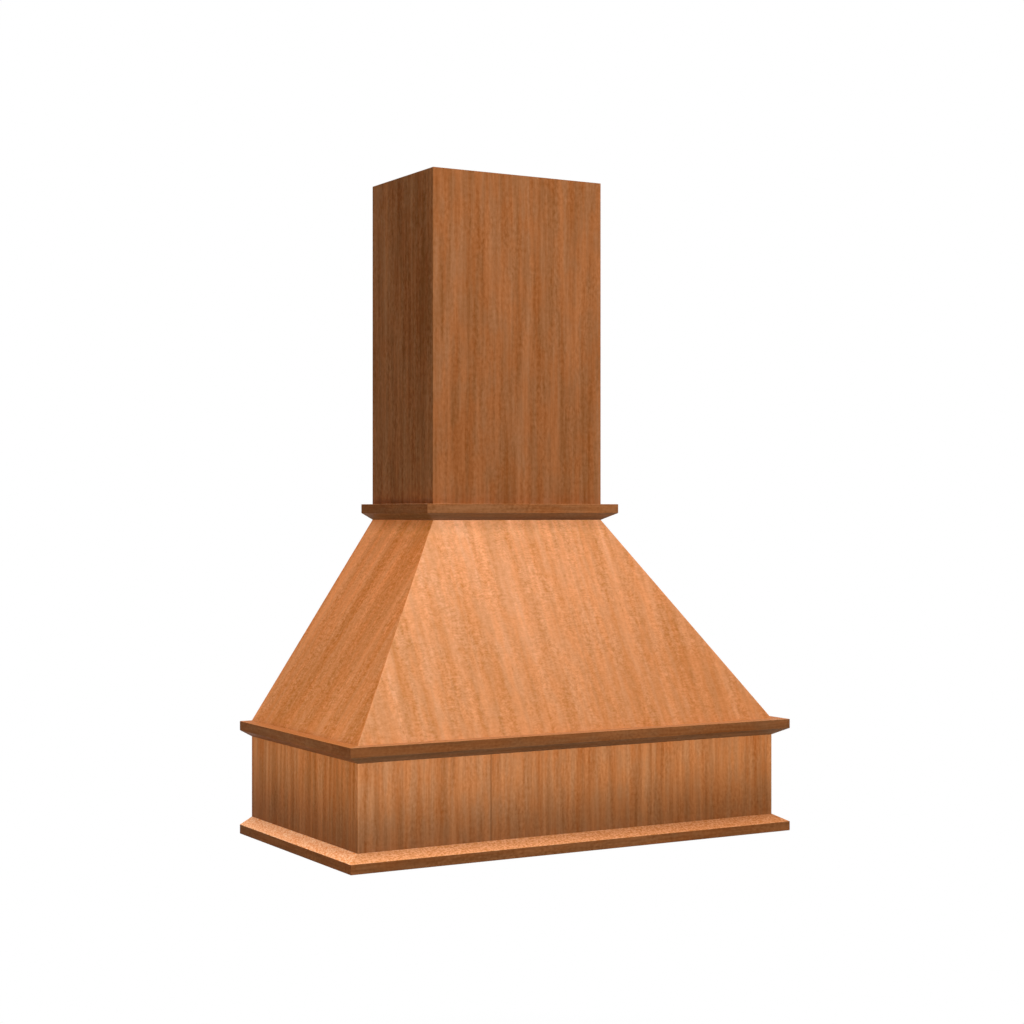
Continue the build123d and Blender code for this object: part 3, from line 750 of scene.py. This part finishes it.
def zinc_plate(name):
    """Zinc plating on the screws, faintly cloudy, with fine turning marks."""
    settings = bpy.context.scene.hood_cover.inside
    material, bench, shader = start_finish(name)
    point = bench.node("TexCoord").outputs["Object"]
    cloud = bench.noise(point, ZINC_PATCH, detail=3.0)
    marks = bench.noise(point, TURNING_MARK, detail=1.0)
    plate = bench.blend(cloud, Vector(settings.zinc) * ZINC_PATCH_TONE, settings.zinc)
    bench.feed(shader.inputs["Base Color"], plate)
    shader.inputs["Metallic"].default_value = 1.0
    bench.feed(shader.inputs["Roughness"], bench.ease(cloud, 0.3, 0.7, start=0.26, end=0.42))
    bump = bench.node("Bump", {"Strength": 0.3, "Distance": 0.00005, "Height": marks})
    bench.feed(shader.inputs["Normal"], bump.outputs[0])
    return material


def dress(node, material):
    """Gives one board of the cover its finish."""
    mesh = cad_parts[node].data
    mesh.materials.clear()
    mesh.materials.append(material)


def closer(light, dark):
    """Two tones brought half way to each other."""
    light, dark = Vector(light), Vector(dark)
    return dark.lerp(light, 0.75), dark.lerp(light, 0.25)


def slope_normal(run, flat):
    """The way a slope faces, from how far it runs in over its rise and its side's own way."""
    rise = NECK_BOTTOM - BAND_TOP
    return (flat * rise + UP * run).normalized()


def corner_edges(side, half_width, front):
    """The mitred edges of an upright board: two on a front board, one on a side board."""
    corner = Vector((half_width, front, 0))
    if side == "front":
        return [(RIGHT, corner), (-RIGHT, -corner)]
    return [(-TO_WALL, corner)]


def hip_edges(side, out):
    """The mitred edges of a slope that faces out: the way off the board and a point on each hip."""
    edges = []
    for hand in (-1, 1):
        foot = Vector((hand * HALF_BODY, BODY_FRONT, BAND_TOP))
        head = Vector((hand * HALF_CHIMNEY, CHIMNEY_FRONT, NECK_BOTTOM))
        turn = hand if side == "front" else -hand
        if side == "front" or (side == "left") == (hand < 0):
            edges.append(((head - foot).cross(out).normalized() * turn, foot))
    return edges


# One operator for each group of pieces


class HOODCOVER_OT_apron(Operator):
    """Lay cherry veneer on the apron's front and sides, with the seam between two leaves"""

    bl_idname = "hoodcover.apron"
    bl_label = "Veneer the Apron"

    def execute(self, context):
        settings = context.scene.hood_cover.veneer
        for number, (side, out) in enumerate(SIDES):
            corner = Vector((out.x * HALF_BODY, -out.y * BODY_FRONT, 0))
            # Painted light: the apron's front grows lighter towards the band moulding and towards its left
            # end, and its sides grow lighter towards the top, as light falls on them
            if side == "front":
                tones = settings.apron_light, settings.apron_dark
                seam = settings.seam_place
                painted_gradient = {
                    "Height": (APRON_FOOT, BAND_FOOT, shade(0.7), shade(1.59)),
                    "Cross": (-HALF_BODY, HALF_BODY, (1.06, 1.1, 1.17), (0.94, 0.91, 0.85)),
                }
            else:
                tones = settings.apron_side_light, settings.apron_side_dark
                seam = None
                painted_gradient = {"Height": (APRON_FOOT, BAND_FOOT, shade(0.59), shade(1.38))}
            material = veneered_board(
                f"Apron veneer {side}",
                tones,
                (UP.cross(out), out, UP),
                corner,
                UPRIGHT_BOARD,
                APRON_FIGURES + number,
                APRON_GRAIN,
                corner_edges(side, HALF_BODY, BODY_FRONT),
                painted_gradient,
                seam=seam,
            )
            dress(f"apron_{side}", material)
        return {"FINISHED"}


class HOODCOVER_OT_slopes(Operator):
    """Lay cherry veneer on the three slopes, with its grain running up them"""

    bl_idname = "hoodcover.slopes"
    bl_label = "Veneer the Slopes"

    def execute(self, context):
        settings = context.scene.hood_cover.veneer
        runs = {
            "front": CHIMNEY_FRONT - BODY_FRONT,
            "left": HALF_BODY - HALF_CHIMNEY,
            "right": HALF_BODY - HALF_CHIMNEY,
        }
        for number, (side, flat) in enumerate(SIDES):
            out = slope_normal(runs[side], flat)
            across = UP.cross(flat)
            along = out.cross(across)
            corner = Vector((flat.x * HALF_BODY, -flat.y * BODY_FRONT, BAND_TOP))
            foot = along.dot(corner)
            head = along.dot(Vector((flat.x * HALF_CHIMNEY, -flat.y * CHIMNEY_FRONT, NECK_BOTTOM)))
            # Painted light: each slope grows lighter towards its head, and the front one also towards its
            # left end; a further painted light on the head fills the neck moulding's shadow
            if side == "front":
                tones = settings.slope_light, settings.slope_dark
                grain = SLOPE_GRAIN
                neck_fill = (1.25, 1.3, 1.34)
                painted_gradient = {
                    "Height": (foot, head, (0.95, 0.94, 0.91), (1.22, 1.26, 1.35)),
                    "Cross": (-HALF_BODY, HALF_BODY, (1.09, 1.14, 1.21), (0.91, 0.86, 0.79)),
                }
            else:
                tones = settings.slope_side_light, settings.slope_side_dark
                grain = SIDE_SLOPE_GRAIN
                neck_fill = (1.45, 1.55, 1.65)
                painted_gradient = {"Height": (foot, head, (0.94, 0.99, 1.07), (1.22, 1.18, 1.16))}
            material = veneered_board(
                f"Slope veneer {side}",
                tones,
                (across, out, along),
                corner,
                SLOPE_BOARD,
                SLOPE_FIGURES + number,
                grain,
                hip_edges(side, out),
                painted_gradient,
                neck_shadow_fill=(head, neck_fill),
                hue=SLOPE_HUE,
            )
            dress(f"slope_{side}", material)
        return {"FINISHED"}


class HOODCOVER_OT_chimney(Operator):
    """Lay cherry veneer on the chimney's three boards"""

    bl_idname = "hoodcover.chimney"
    bl_label = "Veneer the Chimney"

    def execute(self, context):
        settings = context.scene.hood_cover.veneer
        for number, (side, out) in enumerate(SIDES):
            corner = Vector((out.x * HALF_CHIMNEY, -out.y * CHIMNEY_FRONT, 0))
            # Painted shade and light: the chimney grows darker towards the neck moulding and lighter towards
            # its top, and the sides do so more strongly
            if side == "front":
                tones = settings.chimney_light, settings.chimney_dark
                lower, upper = shade(0.91), shade(1.06)
            else:
                tones = settings.chimney_side_light, settings.chimney_side_dark
                lower, upper = (0.83, 0.84, 0.85), (1.13, 1.15, 1.2)
            material = veneered_board(
                f"Chimney veneer {side}",
                tones,
                (UP.cross(out), out, UP),
                corner,
                UPRIGHT_BOARD,
                CHIMNEY_FIGURES + number,
                STRAIGHT_GRAIN,
                corner_edges(side, HALF_CHIMNEY, CHIMNEY_FRONT),
                {"Height": (NECK_BOTTOM, CHIMNEY_TOP, lower, upper)},
            )
            dress(f"chimney_{side}", material)
        return {"FINISHED"}


class HOODCOVER_OT_mouldings(Operator):
    """Stain the base, band and neck mouldings"""

    bl_idname = "hoodcover.mouldings"
    bl_label = "Finish the Mouldings"

    def execute(self, context):
        settings = context.scene.hood_cover.moulding
        veneer = context.scene.hood_cover.veneer
        # Faces that look up are painted lighter: the base and neck take the chamfer tones, and the band
        # takes the slopes' tones brought closer
        chamfers = {
            "front": (settings.chamfer_light, settings.chamfer_dark),
            "side": (settings.side_chamfer_light, settings.side_chamfer_dark),
        }
        flats = {
            "front": closer(veneer.slope_light, veneer.slope_dark),
            "side": closer(veneer.slope_side_light, veneer.slope_side_dark),
        }
        fasciae = {
            "front": (settings.light, settings.dark),
            "side": (settings.side_light, settings.side_dark),
        }
        unders = {
            "front": (settings.under_light, settings.under_dark),
            "side": (settings.light, settings.dark),
        }
        # Painted light and shade on the base chamfers: the front one is lighter at its left end, and each is
        # lighter at its outer edge and darker at the foot of the apron
        painted_gradients = {
            ("base", "front"): {
                "Height": (-HALF_BODY, HALF_BODY, (1.17, 1.23, 1.3), (0.84, 0.8, 0.75)),
                "Depth": (BODY_FRONT - MOULDING_REACH, BODY_FRONT, shade(1.14), shade(0.86)),
            },
            ("base", "side"): {
                "Depth": (-HALF_BODY - MOULDING_REACH, -HALF_BODY, shade(1.1), shade(0.91)),
            },
        }
        # Painted light and shade: each moulding's fascia and underside tones are made lighter or darker,
        # front and sides apart, as light falls on them
        painted_tints = {
            ("base", "front"): (WHITE, WHITE),
            ("base", "side"): ((0.87, 0.84, 0.74), WHITE),
            ("band", "front"): (shade(0.97), shade(1.12)),
            ("band", "side"): (shade(0.94), shade(0.94)),
            ("neck", "front"): (shade(1.27), (0.9, 0.94, 1.0)),
            ("neck", "side"): (shade(1.14), (0.97, 1.26, 1.35)),
        }
        number = MOULDING_FIGURES
        for place in ("base", "band", "neck"):
            tops = flats if place == "band" else chamfers
            for side, out in SIDES:
                kind = "front" if side == "front" else "side"
                fascia_painted_tint, under_painted_tint = painted_tints[place, kind]
                material = moulding_stock(
                    f"Moulding {place} {side}",
                    out,
                    number,
                    with_painted_tint(fasciae[kind], fascia_painted_tint),
                    with_painted_tint(unders[kind], under_painted_tint),
                    tops[kind],
                    painted_gradients.get((place, kind), {}),
                )
                dress(f"{place}_moulding_{side}", material)
                number += 1
        return {"FINISHED"}


FOUR_SIDES = ("front", "back", "left", "right")
FOUR_CORNERS = ("front_left", "front_right", "back_left", "back_right")
POPLAR_BOARDS = (
    "back_rail_bottom",
    *(f"liner_ledger_{side}" for side in FOUR_SIDES),
    *(f"apron_corner_block_{corner}" for corner in FOUR_CORNERS),
    *(f"apron_top_rail_{side}" for side in FOUR_SIDES),
    *(f"neck_rail_{side}" for side in FOUR_SIDES),
    *(f"neck_cleat_{side}" for side, _ in SIDES),
    "chimney_back_rail_bottom",
    "chimney_back_rail_top",
    "chimney_corner_strip_left",
    "chimney_corner_strip_right",
    "hip_strip_left",
    "hip_strip_right",
)
MAPLE_BOARDS = ("wall_cleat", "hood_cleat", "hanging_rail")
SCREWS = ("ledger_screws", "top_rail_screws", "neck_cleat_screws", "hood_cleat_screws")


class HOODCOVER_OT_frame(Operator):
    """Show the bare poplar frame inside the cover"""

    bl_idname = "hoodcover.frame"
    bl_label = "Finish the Inner Frame"

    def execute(self, context):
        settings = context.scene.hood_cover.inside
        tones = settings.poplar_light, settings.poplar_dark
        for number, node in enumerate(POPLAR_BOARDS):
            name = f"Poplar {node.replace('_', ' ')}"
            dress(node, solid_board(node, name, tones, settings.poplar_rings, POPLAR_FIGURES + number))
        return {"FINISHED"}


class HOODCOVER_OT_cleats(Operator):
    """Show the maple hanging rail and the two bevelled cleats"""

    bl_idname = "hoodcover.cleats"
    bl_label = "Finish the Hanging Cleats"

    def execute(self, context):
        settings = context.scene.hood_cover.inside
        tones = settings.maple_light, settings.maple_dark
        for number, node in enumerate(MAPLE_BOARDS):
            name = f"Maple {node.replace('_', ' ')}"
            dress(node, solid_board(node, name, tones, settings.maple_rings, MAPLE_FIGURES + number))
        return {"FINISHED"}


class HOODCOVER_OT_screws(Operator):
    """Plate the square-drive wood screws"""

    bl_idname = "hoodcover.screws"
    bl_label = "Plate the Screws"

    def execute(self, context):
        zinc = zinc_plate("Zinc plate")
        for node in SCREWS:
            dress(node, zinc)
        return {"FINISHED"}


# Each lamp's width, height and place; the low lamp has a twin on the left
OVERHEAD_LAMP = (3.6, 3.0, (-0.9, -1.8, 5.9))
FRONT_LAMP = (2.0, 1.6, (0.1, -4.2, 1.3))
BACK_LAMP = (2.4, 1.8, (0.3, 4.2, 1.6))
LOW_LAMP = (0.8, 0.5, (1.25, -0.35, 0.22))

# What the large lamps point at, and what the low lamp does
COVER_MIDDLE = (0.0, -0.25, 0.6)
LOW_TARGET = (HALF_BODY, -0.25, 0.1)

# Half the floor's width, its patches, and how far from the cover it starts to fade and has faded
FLOOR_REACH = 40.0
FLOOR_PATCH = (0.4, 0.4, 0.4)
FADE_STARTS = 0.4
FADE_ENDS = 2.2

# How much the floor has faded below the cover
LEAST_FADE = 0.75

# Where the camera stands, and how far it turns from the way into the wall, in degrees
CAMERA_PLACE = (-1.936, -3.592, 0.635)
CAMERA_TURN = -30


def soft_lamp(name, watts, shape, target, hand=1, mirrored=True):
    """A rectangular soft light that isn't itself seen, on the side of the hand given."""
    width, height, place = shape
    lamp = bpy.data.lights.new(name, "AREA")
    lamp.shape = "RECTANGLE"
    lamp.size = width
    lamp.size_y = height
    lamp.energy = watts
    side = Vector((hand, 1, 1))
    holder = bpy.data.objects.new(name, lamp)
    holder.location = side * Vector(place)
    way = side * (Vector(target) - Vector(place))
    holder.rotation_euler = way.to_track_quat("-Z", "Y").to_euler()
    holder.visible_camera = False
    holder.visible_glossy = mirrored
    bpy.context.scene.collection.objects.link(holder)


def seen_ray(bench):
    """1 for the rays that see or mirror the background, and 0 for those that light the cover."""
    path = bench.node("LightPath").outputs
    shown = bench.maths("MAXIMUM", path["Is Camera Ray"], path["Is Glossy Ray"])
    return bench.maths("MAXIMUM", shown, path["Is Transmission Ray"])


def white_room(scene, room_light):
    """A white background, which lights the cover less than it shows."""
    world = bpy.data.worlds.new("Studio")
    scene.world = world
    world.use_nodes = True
    bench = Bench(world.node_tree)
    backdrop = next(n for n in world.node_tree.nodes if n.type == "BACKGROUND")
    bench.feed(backdrop.inputs["Color"], WHITE)
    strength = bench.ease(seen_ray(bench), 0.0, 1.0, start=room_light, end=1.0)
    bench.feed(backdrop.inputs["Strength"], strength)


def pale_floor(name, drop):
    """A matt floor that fades into the background, and that can't be seen from below."""
    material, bench, shader = start_finish(name)
    point = bench.node("TexCoord").outputs["Object"]
    mottle = bench.noise(point, FLOOR_PATCH, detail=3.0)
    bench.feed(shader.inputs["Base Color"], bench.blend(mottle, shade(0.36), shade(0.42)))
    shader.inputs["Roughness"].default_value = 0.9
    shader.inputs["Specular IOR Level"].default_value = 0.1
    under_cover = (COVER_MIDDLE[0], COVER_MIDDLE[1], -drop)
    away = bench.vector("LENGTH", bench.vector("SUBTRACT", point, under_cover))
    fade = bench.ease(away, FADE_STARTS, FADE_ENDS, start=LEAST_FADE, end=1.0)
    haze = bench.maths("MULTIPLY", seen_ray(bench), fade)
    white = bench.node("Emission", {"Color": WHITE, "Strength": 1.0}).outputs[0]
    top = bench.node("MixShader", {0: haze, 1: shader.outputs[0], 2: white}).outputs[0]
    clear = bench.node("BsdfTransparent").outputs[0]
    below = bench.node("NewGeometry").outputs["Backfacing"]
    output = next(n for n in material.node_tree.nodes if n.type == "OUTPUT_MATERIAL")
    mixer = bench.node("MixShader", {0: below, 1: top, 2: clear})
    bench.feed(output.inputs["Surface"], mixer.outputs[0])
    return material


def lay_floor(scene, drop):
    """A wide floor below the hung cover."""
    mesh = bpy.data.meshes.new("Floor")
    signs = ((-1, -1), (1, -1), (1, 1), (-1, 1))
    corners = [(x * FLOOR_REACH, y * FLOOR_REACH, -drop) for x, y in signs]
    mesh.from_pydata(corners, [], [(0, 1, 2, 3)])
    floor = bpy.data.objects.new("Floor", mesh)
    scene.collection.objects.link(floor)
    mesh.materials.append(pale_floor("Pale floor", drop))


def set_camera(scene, focal_length):
    """The photograph's viewpoint, to the front left and level with the neck moulding."""
    lens = bpy.data.cameras.new("Camera")
    lens.lens = focal_length
    camera = bpy.data.objects.new("Camera", lens)
    camera.location = CAMERA_PLACE
    camera.rotation_euler = (math.radians(90), 0, math.radians(CAMERA_TURN))
    scene.collection.objects.link(camera)
    scene.camera = camera
    scene.view_settings.view_transform = "Standard"


class HOODCOVER_OT_stage(Operator):
    """Set up the pale floor, the soft lights and the camera"""

    bl_idname = "hoodcover.stage"
    bl_label = "Set the Studio"

    def execute(self, context):
        settings = context.scene.hood_cover.stage
        white_room(context.scene, settings.room_light)
        lay_floor(context.scene, settings.floor_drop)
        soft_lamp("Overhead light", settings.overhead_power, OVERHEAD_LAMP, COVER_MIDDLE)
        soft_lamp("Front light", settings.front_power, FRONT_LAMP, COVER_MIDDLE)
        soft_lamp("Back light", settings.back_power, BACK_LAMP, COVER_MIDDLE, mirrored=False)
        soft_lamp("Low left light", settings.side_power, LOW_LAMP, LOW_TARGET, hand=-1)
        soft_lamp("Low right light", settings.side_power, LOW_LAMP, LOW_TARGET)
        set_camera(context.scene, settings.lens)
        return {"FINISHED"}


class HOODCOVER_PT_panel(Panel):
    """Lists the steps and settings for the hood cover"""

    bl_label = "Wooden Hood Cover"
    bl_idname = "HOODCOVER_PT_panel"
    bl_space_type = "VIEW_3D"
    bl_region_type = "UI"
    bl_category = "Hood Cover"

    def draw(self, context):
        for step in STEPS:
            self.layout.operator(step.bl_idname)
        settings = context.scene.hood_cover
        for part in ("veneer", "moulding", "inside", "stage"):
            box = self.layout.box()
            box.label(text=part.capitalize())
            for name in getattr(settings, part).__annotations__:
                box.prop(getattr(settings, part), name)


STEPS = (
    HOODCOVER_OT_apron,
    HOODCOVER_OT_slopes,
    HOODCOVER_OT_chimney,
    HOODCOVER_OT_mouldings,
    HOODCOVER_OT_frame,
    HOODCOVER_OT_cleats,
    HOODCOVER_OT_screws,
    HOODCOVER_OT_stage,
)
CLASSES = (
    HoodVeneerSettings,
    HoodMouldingSettings,
    HoodFrameSettings,
    HoodStageSettings,
    HoodCoverSettings,
    *STEPS,
    HOODCOVER_PT_panel,
)


def register():
    """Adds the settings, steps and panel to Blender."""
    for cls in CLASSES:
        bpy.utils.register_class(cls)
    bpy.types.Scene.hood_cover = PointerProperty(
        type=HoodCoverSettings, name="Hood cover", description="Finish of the hood cover"
    )


def unregister():
    """Takes the settings, steps and panel out of Blender."""
    del bpy.types.Scene.hood_cover
    for cls in reversed(CLASSES):
        bpy.utils.unregister_class(cls)


def main():
    """Runs every step once."""
    register()
    for step in STEPS:
        group, name = step.bl_idname.split(".")
        getattr(getattr(bpy.ops, group), name)()


if __name__ == "__main__":
    main()
